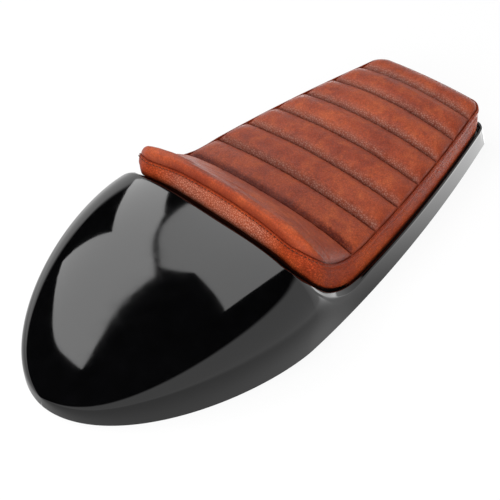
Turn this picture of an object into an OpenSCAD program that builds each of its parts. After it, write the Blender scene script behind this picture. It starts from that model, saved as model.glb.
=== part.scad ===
// Single motorcycle seat with a moulded tail hump. A gloss black shell carries a recessed
// tray, and a quilted cushion sits in the tray with its raised rear lip against the hump.
// X runs along the seat, towards the nose. Z is up, and the shell stands on its lower edge.

/* [Shell] */
// Length of the shell from the tail tip to the nose
shell_length = 540; // [470:1:640]
// Greatest width of the shell, beside the hump
shell_width = 250; // [220:1:290]
// Width of the shell at the nose
nose_width = 158; // [140:1:190]
// Thickness of the moulded wall
wall = 2.5; // [2:0.25:3.5]
// Length of the hump from the tail tip to its crest
hump_length = 198; // [170:1:230]
// Height of the crest of the hump
crest_height = 76; // [66:1:86]
// Height of the upright wall at the tail tip
tail_height = 12; // [6:1:20]
// Height of the rim beside the cushion
rim_height = 17; // [15:0.5:22]
// Height of the tray floor
tray_height = 12; // [9:0.5:13]
// Radius that rounds the top edge of the rim
rim_round = 2; // [1:0.25:3]
// Thickness of the rim in front of the cushion
front_rim = 3; // [2.5:0.5:6]
// Plan radius of the nose corners
nose_corner = 10; // [6:1:16]

/* [Cushion] */
// Inset of the cushion from the lower edge of the shell, beside the hump
inset_rear = 18.5; // [17:0.5:24]
// Inset of the cushion from the lower edge of the shell, at the nose
inset_nose = 14; // [13.5:0.5:18]
// Height of the side seam above the lower edge of the shell
seam_height = 38.5; // [32:0.5:48]
// Height of the seam along the raised rear lip
lip_height = 86; // [82:1:96]
// Length over which the raised lip runs out along the seat
lip_run = 113; // [90:1:125]
// Plan radius of the rear corners of the cushion
rear_corner = 24; // [20:1:34]
// Plan radius of the front corners of the cushion
front_corner = 12; // [11:1:22]
// Rise of the middle of the seat above its side seams
crown = 8; // [4:0.5:12]
// Rise of the padding beside a seam
edge_rise = 5.5; // [3:0.5:8]
// Extra rise of the padding along the raised lip
lip_rise = 6; // [0:0.5:8]
// Forward lean of the raised lip, from the seat pan up to its seam
lip_lean = 8; // [4:0.5:12]
// Inward lean of the side band, from the seat pan up to its seam
band_lean = 2; // [0:0.5:4]
// Width over which the padding rounds over beside a seam
edge_roll = 14; // [8:1:20]
// Distance between two sewn channels
channel_pitch = 39.5; // [34:0.5:43]
// Distance from the rear of the cushion to the first sewn channel
first_channel = 69; // [62:1:78]
// Depth of a sewn channel
channel_depth = 5.5; // [3:0.5:7]
// Thickness of the cover
cover = 1.2; // [0.8:0.1:2]
// Outward swell of the side band
band_swell = 2.2; // [1:0.2:3]
// Width of the cover turned in under the seat pan
turn_under = 10; // [6:1:14]
// Free gap between the side band and the tray wall
tray_gap = 2.2; // [1:0.1:3]

/* [Seat pan and fasteners] */
// Thickness of the seat pan
pan_thickness = 6; // [5:0.5:8]
// Distance along the seat between the mounting nuts
nut_spacing_x = 180; // [150:1:200]
// Distance across the seat between the mounting nuts
nut_spacing_y = 100; // [80:1:106]
// Distance from the nose to the middle of the mounting nuts
nut_setback = 160; // [150:1:180]
// Nominal diameter of the thread in the mounting nuts
nut_thread = 6; // [5:1:8]
// Outer diameter of the barrel of a mounting nut
nut_barrel = 9; // [8.5:0.5:11]
// Diameter of the flange of a mounting nut
nut_flange = 19; // [16:1:24]
// Thickness of the flange of a mounting nut
nut_flange_thickness = 1.6; // [1:0.2:2.4]
// Diameter of the shank of a pan screw
screw_shank = 4; // [3:0.5:5]
// Diameter of the head of a pan screw
screw_head = 8; // [7:0.5:10]
// Height of the head of a pan screw
screw_head_height = 2.4; // [1.8:0.2:2.8]
// Length of the shank of a pan screw
screw_length = 9; // [7:0.5:10]
// Outer diameter of the washer under a screw head
washer_diameter = 12; // [10:0.5:14]
// Thickness of the washer under a screw head
washer_thickness = 1; // [0.8:0.1:1.2]
// Distance of the pan screws from the edge of the cushion
screw_edge = 22; // [18:1:26]

/* [Hidden] */

// Powers that shape the curves of the shell
tail_power = 1.64;
tail_round_power = 1.96;
taper_power = 1.75;
section_power = 3.6;
crest_line_power = 1.94;
crest_fall_power = 1.1;
shoulder_power = 1.3;
// Where the shell is widest, as a share of the hump length from the tail
widest_share = 0.965;
// Half width of the flat at the tail tip, as a share of the shell width
tip_share = 0.03;
// Run over which the hump falls away to the side rim, as a share of the hump length
fall_share = 0.53;
// Run over which the rounded flank turns into a flat one, as a share of the hump length
flatten_share = 0.5;
// Lean of the flank from the lower edge to the rim, as a share of the cushion inset
rim_lean_share = 0.42;
// Height of the imagined hump section beside the seat, as a share of the rim height
side_section_share = 1.2;
// Places of the pan screws along the cushion, as shares of its length
screw_place_shares = [0.07, 0.52, 0.93];
// Clearance of a hole around what passes through it, as a share of the wall
hole_clearance_share = 0.16;
// Depth of the cross recess in a screw head, as a share of its height
recess_share = 0.5;
// Distance below which two points are the same one, as a share of the wall
same_share = 0.000001;
// Powers that shape the lip and the channels of the cushion
lip_power = 3;
lip_start_power = 1.2;
channel_power = 2.2;
// How much of the crown is left at the front seam, as a share of it
front_crown_share = 0.5;
// Spacing of the sections beside the seat, closer together at the hump
side_spacing_power = 1.35;
// One overrun for every cut
overrun = wall;

// Stations along the shell and points across it
tail_steps = 15;
corner_steps = 6;
side_steps = 10;
front_corner_steps = 4;
front_steps = 3;
flank_points = 9;
lean_points = 4;
round_points = 3;
floor_points = 5;
// Stations along the cushion and points across it
lip_steps = 7;
end_steps = 5;
front_roll_steps = 2;
band_points = 4;
rib_station_shares = [0.15, 0.38, 0.62, 0.85, 1];
cushion_columns = 12;
round_facets = 48;

tail_x = -shell_length / 2;
nose_x = shell_length / 2;
crest_x = tail_x + hump_length;
widest_x = tail_x + hump_length * widest_share;
tip_half = shell_width * tip_share;
fall_run = hump_length * fall_share;
flatten_run = hump_length * flatten_share;
same_point = wall * same_share;

// The rear wall of the tray stands at the crest. The core is all that the side band wraps.
band_depth = cover + band_swell;
tray_offset = band_depth + tray_gap;
tray_corner = rear_corner + tray_offset;
core_rear_x = crest_x + tray_offset;
tray_front_x = nose_x - front_rim;
core_front_x = tray_front_x - cover - tray_gap / 2;
core_length = core_front_x - core_rear_x;
tray_under = tray_height - wall;
pan_bottom = tray_height + cover;
pan_top = pan_bottom + pan_thickness;
first_channel_x = core_rear_x + first_channel;
channel_count = floor((core_front_x - front_corner - first_channel_x) / channel_pitch) + 1;
last_channel_x = first_channel_x + (channel_count - 1) * channel_pitch;
hole_clearance = wall * hole_clearance_share;
nuts_x = nose_x - nut_setback;
// Forward lean of the front of the cushion, which brings its seam flush with the nose
nose_lean = nose_x - core_front_x - cover;

function share(value, low, high) = min(max((value - low) / (high - low), 0), 1);
function mix(from, to, amount) = from + (to - from) * amount;
function ease(amount) = amount * amount * (3 - 2 * amount);
// How far a rounded corner pulls in an edge, at a distance from the end of that edge
function corner_in(distance, radius) =
    distance >= radius ? 0 : radius - sqrt(max(radius * radius - pow(radius - distance, 2), 0));

// Half width of the lower edge of the shell, without and with its nose corners
function plan_half(x) = x < widest_x
    ? max(tip_half, shell_width / 2
          * pow(1 - pow(share(widest_x - x, 0, widest_x - tail_x), tail_power), 1 / tail_round_power))
    : mix(shell_width, nose_width, pow(share(x, widest_x, nose_x), taper_power)) / 2;
function edge_half(x) = plan_half(x) - corner_in(nose_x - x, nose_corner);
function inset(x) = mix(inset_rear, inset_nose, share(x, crest_x, nose_x));
// Half width of the outline of the core, moved outwards by some amount
function core_half(x, out = 0) = plan_half(x) - inset(x) + out
    - corner_in(x - core_rear_x + out, rear_corner + out)
    - corner_in(core_front_x + min(out, tray_front_x - core_front_x) - x, front_corner);

// Height of the arch of the hump along the shell. In front of the crest only its flanks are left.
function arch_top(x) = x < crest_x
    ? mix(tail_height, crest_height,
          pow(1 - pow(share(crest_x - x, 0, hump_length), crest_line_power), 1 / crest_fall_power))
    : mix(rim_height * side_section_share, crest_height,
          pow(1 - pow(share(x, crest_x, crest_x + fall_run), shoulder_power), 2));
function rim_top(x) = rim_height - corner_in(nose_x - x, rim_round);
function arch_height(half, height, y) =
    height * pow(max(1 - pow(min(abs(y) / half, 1), section_power), 0), 1 / section_power);
// A point of the arch from its foot up to where its half width is stop
function arch_point(half, height, stop, amount) =
    let (angle = acos(pow(min(stop / half, 1), section_power / 2)) * pow(amount, 3 / 2))
    [half * pow(cos(angle), 2 / section_power), height * pow(sin(angle), 2 / section_power)];
// A point of the leaning flank beside the seat, then of its rounded edge, then of the ledge
function flank_point(half, ledge_half, stop, height, k) =
    let (turn = share(k, lean_points, lean_points + round_points) * 90)
    k <= lean_points
        ? [mix(half, ledge_half, k / lean_points), (height - rim_round) * k / lean_points]
        : k <= lean_points + round_points
            ? [ledge_half - rim_round * (1 - cos(turn)), height - rim_round * (1 - sin(turn))]
            : [mix(ledge_half - rim_round, stop, share(k, lean_points + round_points, flank_points)), height];
function flatness(x) = ease(share(x, crest_x, crest_x + flatten_run));
function ledge_half(x, stop) = max(edge_half(x) - inset(x) * rim_lean_share, stop + rim_round * 3 / 2);

function mirrored(points) =
    concat([for (p = points) [-p[0], p[1]]], [for (k = [len(points) - 2:-1:0]) points[k]]);
function at_x(x, points) = [for (p = points) [x, p[0], p[1]]];
function arch_middle(half, height, stop) = [for (k = [1:floor_points + 1])
    let (y = stop * (1 - k / (floor_points + 1))) [y, arch_height(half, height, y)]];
function flat_middle(stop, height) = [for (k = [0:floor_points]) [stop * (1 - k / floor_points), height]];
function lid_middle(stop, height) = [for (k = [1:floor_points + 1]) [stop * (1 - k / (floor_points + 1)), height]];

// Sections of the outer skin: through the hump, through the tray and through the front rim
crest_stop_share = core_half(crest_x, tray_offset) / edge_half(crest_x);
front_stop_share = core_half(tray_front_x, tray_offset) / edge_half(tray_front_x);
function outer_flank(x, stop) = [for (k = [0:flank_points])
    mix(arch_point(edge_half(x), arch_top(x), stop, k / flank_points),
        flank_point(edge_half(x), ledge_half(x, stop), stop, rim_top(x), k), flatness(x))];
function hump_section(x) = let (stop = edge_half(x) * crest_stop_share)
    at_x(x, mirrored(concat(outer_flank(x, stop), arch_middle(edge_half(x), arch_top(x), stop))));
function tray_section(x) = let (stop = core_half(x, tray_offset))
    at_x(x, mirrored(concat(outer_flank(x, stop), flat_middle(stop, tray_height))));
function front_section(x) = let (stop = edge_half(x) * front_stop_share)
    at_x(x, mirrored(concat(outer_flank(x, stop), lid_middle(stop, rim_top(x)))));

// Sections of the inner skin: under the hump, and under the tray with the hollow inside the rim
inner_crest_x = crest_x - wall;
inner_front_x = tray_front_x - wall;
function inner_half(x) = max(edge_half(x) - wall, tip_half / 2);
function inner_stop(x) = core_half(x, tray_offset + wall);
inner_stop_share = inner_stop(inner_crest_x) / inner_half(inner_crest_x);
// How far the hollow inside the rim is open. It closes where the rim gets narrow, and at the nose.
function rim_open(x) = ease(share(ledge_half(x, core_half(x, tray_offset)) - wall - inner_stop(x), -wall / 2, wall / 2))
    * ease(share(inner_front_x - x, 0, front_corner));
function inner_flank(x, stop) = let (half = inner_half(x), open = max(rim_open(x), 1 - flatness(x)))
    [for (k = [0:flank_points])
        mix([mix(half, stop, k / flank_points), tray_under * k / (flank_points + 1)],
            mix(arch_point(half, arch_top(x) - wall, stop, k / flank_points),
                flank_point(half, max(ledge_half(x, stop) - wall, stop + rim_round * 3 / 2), stop, rim_height - wall, k),
                flatness(x)), open)];
function inner_hump_section(x) = let (stop = inner_half(x) * inner_stop_share)
    at_x(x, mirrored(concat(inner_flank(x, stop), arch_middle(inner_half(x), arch_top(x) - wall, stop))));
function inner_tray_section(x) = let (stop = inner_stop(x))
    at_x(x, mirrored(concat(inner_flank(x, stop), flat_middle(stop, tray_under))));

// Places of the sections, closer together where the plan turns a corner
hump_places = [for (k = [0:tail_steps]) 1 - cos(90 * k / tail_steps)];
function tray_places(start, corner, finish) = concat(
    [for (k = [0:corner_steps]) start + corner * (1 - cos(90 * k / corner_steps))],
    [for (k = [1:side_steps]) mix(start + corner, finish - front_corner, pow(k / side_steps, side_spacing_power))],
    [for (k = [1:front_corner_steps]) finish - front_corner * (1 - sin(90 * k / front_corner_steps))]);
front_places = [for (k = [0:front_steps]) nose_x - front_rim * pow(1 - k / front_steps, 2)];
outer_rings = concat(
    [for (place = hump_places) hump_section(mix(tail_x, crest_x, place))],
    [for (x = tray_places(crest_x, tray_corner, tray_front_x)) tray_section(x)],
    [for (x = front_places) front_section(x)]);
inner_rings = concat(
    [for (place = hump_places) inner_hump_section(mix(tail_x + wall, inner_crest_x, place))],
    [for (x = tray_places(inner_crest_x, tray_corner + wall, inner_front_x)) inner_tray_section(x)]);

function flatten(lists) = [for (list = lists) each list];
// Sections that share points share them by number, so a step between two of them stays watertight
function point_number(rings, r, k) = r > 0 && norm(rings[r][k] - rings[r - 1][k]) < same_point
    ? point_number(rings, r - 1, k) : r * len(rings[0]) + k;
function whole(face) = [for (k = [0:2]) if (face[k] != face[(k + 1) % 3]) face[k]];
function quad(a, b, c, d) = [for (face = [[a, b, c], [a, c, d]]) if (len(whole(face)) == 3) face];
function flipped(faces) = [for (face = faces) [face[2], face[1], face[0]]];
function loft(rings) = flatten([for (r = [0:len(rings) - 2], k = [0:len(rings[0]) - 2])
    quad(point_number(rings, r, k), point_number(rings, r, k + 1),
         point_number(rings, r + 1, k + 1), point_number(rings, r + 1, k))]);
function cap(rings, r, centre) = [for (k = [0:len(rings[0]) - 1])
    [centre, point_number(rings, r, k), point_number(rings, r, (k + 1) % len(rings[0]))]];
function moved(faces, shift) = [for (face = faces) face + [shift, shift, shift]];
function cap_centre(ring) = [ring[0][0], 0, ring[(len(ring) - 1) / 2][2] / 2];

module shell_body() {
    n = len(outer_rings[0]);
    last = len(outer_rings) - 1;
    inner_last = len(inner_rings) - 1;
    inner_start = (last + 1) * n;
    centres = inner_start + (inner_last + 1) * n;
    points = concat(flatten(outer_rings), flatten(inner_rings), [
        cap_centre(outer_rings[0]), cap_centre(outer_rings[last]),
        cap_centre(inner_rings[0]), cap_centre(inner_rings[inner_last])]);
    foot = [for (r = [0:last]) [point_number(outer_rings, r, 0), point_number(outer_rings, r, n - 1)]];
    inner_foot = [for (r = [0:last]) let (i = min(r, inner_last))
        [point_number(inner_rings, i, 0) + inner_start, point_number(inner_rings, i, n - 1) + inner_start]];
    edge = flatten([for (r = [0:last - 1]) concat(
        quad(foot[r][0], foot[r + 1][0], inner_foot[r + 1][0], inner_foot[r][0]),
        quad(foot[r + 1][1], foot[r][1], inner_foot[r][1], inner_foot[r + 1][1]))]);
    ends = concat(
        quad(foot[0][0], inner_foot[0][0], inner_foot[0][1], foot[0][1]),
        quad(inner_foot[last][0], foot[last][0], foot[last][1], inner_foot[last][1]));
    faces = concat(
        loft(outer_rings),
        flipped(moved(loft(inner_rings), inner_start)),
        edge, ends,
        flipped(cap(outer_rings, 0, centres)),
        cap(outer_rings, last, centres + 1),
        [for (face = cap(inner_rings, 0, centres + 2 - inner_start)) face + [inner_start, inner_start, inner_start]],
        flipped(moved(cap(inner_rings, inner_last, centres + 3 - inner_start), inner_start)));
    polyhedron(points, faces);
}

// Places of the mounting nuts and of the pan screws
nut_places = [for (x = [-1, 1], y = [-1, 1]) [nuts_x + x * nut_spacing_x / 2, y * nut_spacing_y / 2]];
function screw_x(row) = core_rear_x + core_length * screw_place_shares[row];
function screw_place(row, side) = [screw_x(row), side * (core_half(screw_x(row)) - screw_edge)];
screw_places = [for (row = [0:2], side = [-1, 1]) screw_place(row, side)];

module upright(place, bottom, diameter, height) {
    translate([place[0], place[1], bottom]) cylinder(d = diameter, h = height, $fn = round_facets);
}

module cowl_shell() {
    color([0.02, 0.02, 0.022]) difference() {
        shell_body();
        for (place = nut_places)
            upright(place, tray_under - overrun, nut_barrel + 2 * hole_clearance, wall + 2 * overrun);
        for (place = screw_places)
            upright(place, tray_under - overrun, screw_shank + 2 * hole_clearance, wall + 2 * overrun);
    }
}

// Stations along the cushion: place, and the way outwards there
rear_turn = [for (k = [0:end_steps]) let (turn = 90 * k / end_steps)
    [core_rear_x + rear_corner * (1 - cos(turn)), -cos(turn), sin(turn)]];
front_turn = [for (k = [0:end_steps]) let (turn = 90 * k / end_steps)
    [core_front_x - front_corner * (1 - sin(turn)), sin(turn), cos(turn)]];
lip_end = core_rear_x + rear_corner;
stations = concat(rear_turn,
    [for (k = [1:lip_steps]) [mix(lip_end, first_channel_x, sin(90 * k / lip_steps)), 0, 1]],
    [for (channel = [0:channel_count - 2], place = rib_station_shares)
        [first_channel_x + (channel + place) * channel_pitch, 0, 1]],
    [for (k = [1:front_roll_steps]) [mix(last_channel_x, core_front_x - front_corner, k / (front_roll_steps + 1)), 0, 1]],
    front_turn);
columns = [for (k = [0:cushion_columns]) sin(180 * k / cushion_columns - 90)];

// Height of the seam along the rim of the cushion, and of its padded top
function seam_line(x, across) = seam_height
    + (lip_height - seam_height)
    * pow(1 - pow(share(x, core_rear_x, core_rear_x + lip_run), lip_start_power), lip_power)
    + crown * (1 - across * across) * mix(front_crown_share, 1, share(core_front_x - x, 0, channel_pitch));
function rounding(distance) = sqrt(max(1 - pow(1 - share(distance, 0, edge_roll), 2), 0));
function to_channel(x) = x < first_channel_x ? first_channel_x - x
    : x > last_channel_x ? x - last_channel_x
    : let (place = (x - first_channel_x) / channel_pitch) abs(place - round(place)) * channel_pitch;
function channel_dip(x) = channel_depth * pow(1 - share(to_channel(x), 0, channel_pitch / 2), channel_power);
function padded_top(x, across) = seam_line(x, across)
    + rounding((1 - abs(across)) * core_half(x)) * rounding(x - core_rear_x) * rounding(core_front_x - x)
    * (edge_rise + lip_rise * (1 - pow(share(x, core_rear_x, first_channel_x), 2)) - channel_dip(x));
// A point of the core outline and all inside it lean in and forwards on the way up to the seam
function leaned(x, across, z) =
    let (up = (z - pan_top) / (padded_top(x, across) - pan_top),
         forwards = lip_lean * pow(1 - share(x, core_rear_x, first_channel_x), 2)
             + nose_lean * share(x, last_channel_x, core_front_x))
    [x + up * forwards, across * (core_half(x) - up * band_lean), z];

rows = len(stations);
row_points = len(columns);
function layer(drop) = [for (station = stations, across = columns)
    leaned(station[0], across, padded_top(station[0], across) - drop)];
flat_layer = [for (station = stations, across = columns)
    [station[0], across * core_half(station[0]), pan_top]];
function grid_number(row, column) = row * row_points + column;
// Stations and columns in turn around the rim of the cushion
rim_cells = concat(
    [for (k = [0:row_points - 1]) [0, k]],
    [for (k = [1:rows - 1]) [k, row_points - 1]],
    [for (k = [row_points - 2:-1:0]) [rows - 1, k]],
    [for (k = [rows - 2:-1:1]) [k, 0]]);
rim_count = len(rim_cells);
layer_count = rows * row_points;
grid_faces = flatten([for (row = [0:rows - 2], column = [0:row_points - 2])
    quad(grid_number(row, column), grid_number(row, column + 1),
         grid_number(row + 1, column + 1), grid_number(row + 1, column))]);
function rim_number(k) = grid_number(rim_cells[k % rim_count][0], rim_cells[k % rim_count][1]);
wall_faces = flatten([for (k = [0:rim_count - 1])
    quad(rim_number(k + 1), rim_number(k), rim_number(k) + layer_count, rim_number(k + 1) + layer_count)]);
// A flat underside needs only the points of the rim
left = row_points - 1;
under_faces = concat(
    flatten([for (row = [1:rows - 3])
        quad(grid_number(row, 0), grid_number(row + 1, 0), grid_number(row + 1, left), grid_number(row, left))]),
    [for (k = [0:left - 1]) [grid_number(0, k), grid_number(1, left), grid_number(0, k + 1)]],
    [[grid_number(0, 0), grid_number(1, 0), grid_number(1, left)]],
    [for (k = [0:left - 1]) [grid_number(rows - 1, k), grid_number(rows - 1, k + 1), grid_number(rows - 2, left)]],
    [[grid_number(rows - 2, 0), grid_number(rows - 1, 0), grid_number(rows - 2, left)]]);

module cover_top_panel() {
    color([0.6, 0.27, 0.14]) polyhedron(
        concat(layer(0), layer(cover)),
        concat(grid_faces, wall_faces, flipped(moved(grid_faces, layer_count))));
}

module foam_pad() {
    color([0.86, 0.83, 0.74]) difference() {
        polyhedron(concat(layer(cover), flat_layer), concat(grid_faces, wall_faces, moved(under_faces, layer_count)));
        for (place = nut_places) {
            upright(place, pan_top - overrun, nut_flange, nut_flange_thickness + overrun);
            upright(place, pan_top - overrun, nut_barrel, pan_thickness + overrun);
        }
    }
}

function cell_point(cell, z) = leaned(stations[cell[0]][0], columns[cell[1]], z);
function cell_out(cell) = cell[0] == 0 ? [-1, 0] : cell[0] == rows - 1 ? [1, 0]
    : [stations[cell[0]][1], stations[cell[0]][2] * sign(columns[cell[1]])];
// Section of the side band at a rim point: up the outside, over the seam and under the seat pan
function band_section(cell) =
    let (out = cell_out(cell),
         top = seam_line(stations[cell[0]][0], columns[cell[1]]),
         swell = band_swell * (1 - max(out[0], 0)),
         outside = [for (k = [band_points:-1:0]) let (up = k / band_points)
             [cover + swell * (1 - up * up), mix(pan_top, top, up)]],
         profile = concat([[0, top]], outside,
             [[cover + swell, tray_height], [-turn_under, tray_height], [-turn_under, pan_bottom],
              [0, pan_bottom], [0, pan_top], [0, top - cover]]))
    [for (p = profile) let (place = cell_point(cell, max(p[1], pan_top)))
        [place[0] + out[0] * p[0], place[1] + out[1] * p[0], p[1]]];

module cover_side_band() {
    sections = [for (cell = rim_cells) band_section(cell)];
    n = len(sections[0]);
    color([0.56, 0.25, 0.13]) polyhedron(flatten(sections),
        flatten([for (r = [0:rim_count - 1], k = [0:n - 1]) let (next = (r + 1) % rim_count, q = (k + 1) % n)
            quad(r * n + k, r * n + q, next * n + q, next * n + k)]));
}

module seat_pan() {
    color([0.1, 0.1, 0.1]) difference() {
        translate([0, 0, pan_bottom]) linear_extrude(pan_thickness)
            polygon([for (k = [rim_count - 1:-1:0]) let (p = cell_point(rim_cells[k], pan_top)) [p[0], p[1]]]);
        for (place = nut_places)
            upright(place, pan_bottom - overrun, nut_barrel, pan_thickness + 2 * overrun);
        for (place = screw_places)
            upright(place, pan_bottom - overrun, screw_shank, screw_length - washer_thickness + overrun);
    }
}

// A nut with a round flange on the seat pan and a threaded barrel through it
module mount_nut(place) {
    color([0.62, 0.63, 0.65]) difference() {
        union() {
            upright(place, pan_bottom, nut_barrel, pan_thickness);
            upright(place, pan_top, nut_flange, nut_flange_thickness);
        }
        upright(place, pan_bottom - overrun, nut_thread, pan_thickness + nut_flange_thickness + 2 * overrun);
    }
}
module mount_nut_rear_right() mount_nut(nut_places[0]);
module mount_nut_rear_left() mount_nut(nut_places[1]);
module mount_nut_front_right() mount_nut(nut_places[2]);
module mount_nut_front_left() mount_nut(nut_places[3]);

// A screw from below, through a washer and the tray floor, into the seat pan
module pan_screw(place) {
    seat = tray_under - washer_thickness;
    recess = screw_head_height * recess_share;
    color([0.66, 0.67, 0.69]) difference() {
        union() {
            upright(place, seat, screw_shank, screw_length);
            upright(place, seat - screw_head_height, screw_head, screw_head_height);
        }
        for (turn = [0, 90])
            translate([place[0], place[1], seat - screw_head_height]) rotate(turn)
                cube([screw_shank, recess, 2 * recess], center = true);
    }
}
module screw_rear_right() pan_screw(screw_places[0]);
module screw_rear_left() pan_screw(screw_places[1]);
module screw_mid_right() pan_screw(screw_places[2]);
module screw_mid_left() pan_screw(screw_places[3]);
module screw_front_right() pan_screw(screw_places[4]);
module screw_front_left() pan_screw(screw_places[5]);

module pan_washer(place) {
    color([0.7, 0.71, 0.73]) difference() {
        upright(place, tray_under - washer_thickness, washer_diameter, washer_thickness);
        upright(place, tray_under - washer_thickness - overrun, screw_shank + hole_clearance,
                washer_thickness + 2 * overrun);
    }
}
module washer_rear_right() pan_washer(screw_places[0]);
module washer_rear_left() pan_washer(screw_places[1]);
module washer_mid_right() pan_washer(screw_places[2]);
module washer_mid_left() pan_washer(screw_places[3]);
module washer_front_right() pan_washer(screw_places[4]);
module washer_front_left() pan_washer(screw_places[5]);

cowl_shell();
seat_pan();
foam_pad();
cover_top_panel();
cover_side_band();
mount_nut_rear_right();
mount_nut_rear_left();
mount_nut_front_right();
mount_nut_front_left();
screw_rear_right();
screw_rear_left();
screw_mid_right();
screw_mid_left();
screw_front_right();
screw_front_left();
washer_rear_right();
washer_rear_left();
washer_mid_right();
washer_mid_left();
washer_front_right();
washer_front_left();
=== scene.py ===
import math

import bmesh
import bpy
import numpy as np
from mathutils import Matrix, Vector, noise


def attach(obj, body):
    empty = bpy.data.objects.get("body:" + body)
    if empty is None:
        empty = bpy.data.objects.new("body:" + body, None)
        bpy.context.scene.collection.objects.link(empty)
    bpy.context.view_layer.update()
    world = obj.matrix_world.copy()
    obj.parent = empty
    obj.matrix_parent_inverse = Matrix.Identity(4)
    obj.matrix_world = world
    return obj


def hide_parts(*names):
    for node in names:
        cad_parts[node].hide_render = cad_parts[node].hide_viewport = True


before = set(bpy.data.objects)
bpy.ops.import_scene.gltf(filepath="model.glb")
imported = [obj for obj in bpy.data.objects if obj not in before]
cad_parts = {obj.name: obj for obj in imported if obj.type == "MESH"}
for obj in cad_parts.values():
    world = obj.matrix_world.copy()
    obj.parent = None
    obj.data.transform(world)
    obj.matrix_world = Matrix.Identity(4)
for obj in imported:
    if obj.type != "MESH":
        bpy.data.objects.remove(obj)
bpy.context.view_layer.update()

# The look of a motorcycle seat: a gloss black shell with a tail hump, and a quilted leather
# cushion in its tray. X runs towards the nose, Z is up. Shapes are worked out in millimetres.

MM = 0.001

# Shell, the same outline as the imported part
SHELL_LENGTH = 540.0
SHELL_WIDTH = 250.0
NOSE_WIDTH = 158.0
WALL = 2.5
HUMP_LENGTH = 198.0
CREST_HEIGHT = 76.0
TAIL_HEIGHT = 12.0
RIM_HEIGHT = 17.0
TRAY_HEIGHT = 12.0
RIM_ROUND = 2.0
FRONT_RIM = 3.0
NOSE_CORNER = 10.0
TIP_HALF = 0.2
TAIL_POWER = 1.64
TAIL_ROUND_POWER = 1.96
TAPER_POWER = 1.75
SECTION_POWER = 3.6
CREST_LINE_POWER = 1.94
CREST_FALL_POWER = 1.1
SHOULDER_POWER = 1.3
RIM_LEAN = 0.42
SIDE_SECTION = 1.2

# Cushion
INSET_REAR = 18.5
INSET_NOSE = 14.0
SEAM_HEIGHT = 38.5
LIP_HEIGHT = 86.0
LIP_RUN = 113.0
LIP_POWER = 3.0
LIP_START_POWER = 1.2
LIP_RISE = 6.0
LIP_LEAN = 8.0
BAND_LEAN = 2.0
REAR_CORNER = 24.0
FRONT_CORNER = 12.0
CROWN = 8.0
EDGE_RISE = 5.5
EDGE_ROLL = 14.0
PITCH = 39.5
FIRST_CHANNEL = 69.0
CHANNEL_DEPTH = 6.0
COVER = 1.2
BAND_SWELL = 2.2
TURN_UNDER = 10.0
TRAY_GAP = 2.2

TAIL_X = -SHELL_LENGTH / 2
NOSE_X = SHELL_LENGTH / 2
CREST_X = TAIL_X + HUMP_LENGTH
WIDEST_X = TAIL_X + HUMP_LENGTH * 0.965
FALL_RUN = HUMP_LENGTH * 0.53
FLATTEN_RUN = HUMP_LENGTH * 0.5
TRAY_OFFSET = COVER + BAND_SWELL + TRAY_GAP
TRAY_CORNER = REAR_CORNER + TRAY_OFFSET
CORE_REAR = CREST_X + TRAY_OFFSET
TRAY_FRONT = NOSE_X - FRONT_RIM
CORE_FRONT = TRAY_FRONT - COVER - TRAY_GAP / 2
CHANNELS = [CORE_REAR + FIRST_CHANNEL + k * PITCH for k in range(7)]
PAN_BOTTOM = TRAY_HEIGHT + COVER
NOSE_LEAN = NOSE_X - CORE_FRONT - COVER


def share(value, low, high):
    return np.clip((value - low) / (high - low), 0.0, 1.0)


def mix(a, b, t):
    return a + (b - a) * t


def ease(t):
    return t * t * (3 - 2 * t)


def corner_in(distance, radius):
    d = np.clip(distance, 0.0, radius)
    return radius - np.sqrt(np.maximum(radius**2 - (radius - d) ** 2, 0.0))


def plan_half(x):
    tail = SHELL_WIDTH / 2 * (1 - share(WIDEST_X - x, 0, WIDEST_X - TAIL_X) ** TAIL_POWER) ** (1 / TAIL_ROUND_POWER)
    fore = mix(SHELL_WIDTH, NOSE_WIDTH, share(x, WIDEST_X, NOSE_X) ** TAPER_POWER) / 2
    return np.where(x < WIDEST_X, np.maximum(tail, TIP_HALF), fore)


def edge_half(x):
    return plan_half(x) - corner_in(NOSE_X - x, NOSE_CORNER)


def inset(x):
    return mix(INSET_REAR, INSET_NOSE, share(x, CREST_X, NOSE_X))


def core_half(x, out=0.0):
    front = CORE_FRONT + min(out, TRAY_FRONT - CORE_FRONT) - x
    return plan_half(x) - inset(x) + out - corner_in(x - CORE_REAR + out, REAR_CORNER + out) - corner_in(front, FRONT_CORNER)


def arch_top(x):
    hump = mix(TAIL_HEIGHT, CREST_HEIGHT,
               (1 - share(CREST_X - x, 0, HUMP_LENGTH) ** CREST_LINE_POWER) ** (1 / CREST_FALL_POWER))
    side = mix(RIM_HEIGHT * SIDE_SECTION, CREST_HEIGHT,
               (1 - share(x, CREST_X, CREST_X + FALL_RUN) ** SHOULDER_POWER) ** 2)
    return np.where(x < CREST_X, hump, side)


def flatness(x):
    return ease(share(x, CREST_X, CREST_X + FLATTEN_RUN))


def arch_height(half, height, y):
    return height * np.maximum(1 - np.minimum(np.abs(y) / half, 1) ** SECTION_POWER, 0) ** (1 / SECTION_POWER)


def rim_level(x, half):
    """Height of the top of the shell beside the cushion, at a half width."""
    return mix(arch_height(edge_half(x), arch_top(x), half), RIM_HEIGHT, flatness(x))


# Meshes

def mesh_object(name, verts, faces, smooth_angle=None):
    mesh = bpy.data.meshes.new(name)
    mesh.from_pydata([tuple(v) for v in np.asarray(verts) * MM], [], faces)
    mesh.validate()
    mesh.update()
    obj = bpy.data.objects.new(name, mesh)
    bpy.context.scene.collection.objects.link(obj)
    finish_mesh(mesh, smooth_angle)
    return obj


def finish_mesh(mesh, smooth_angle):
    mesh.shade_smooth()
    if smooth_angle:
        mesh.set_sharp_from_angle(angle=math.radians(smooth_angle))


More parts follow.
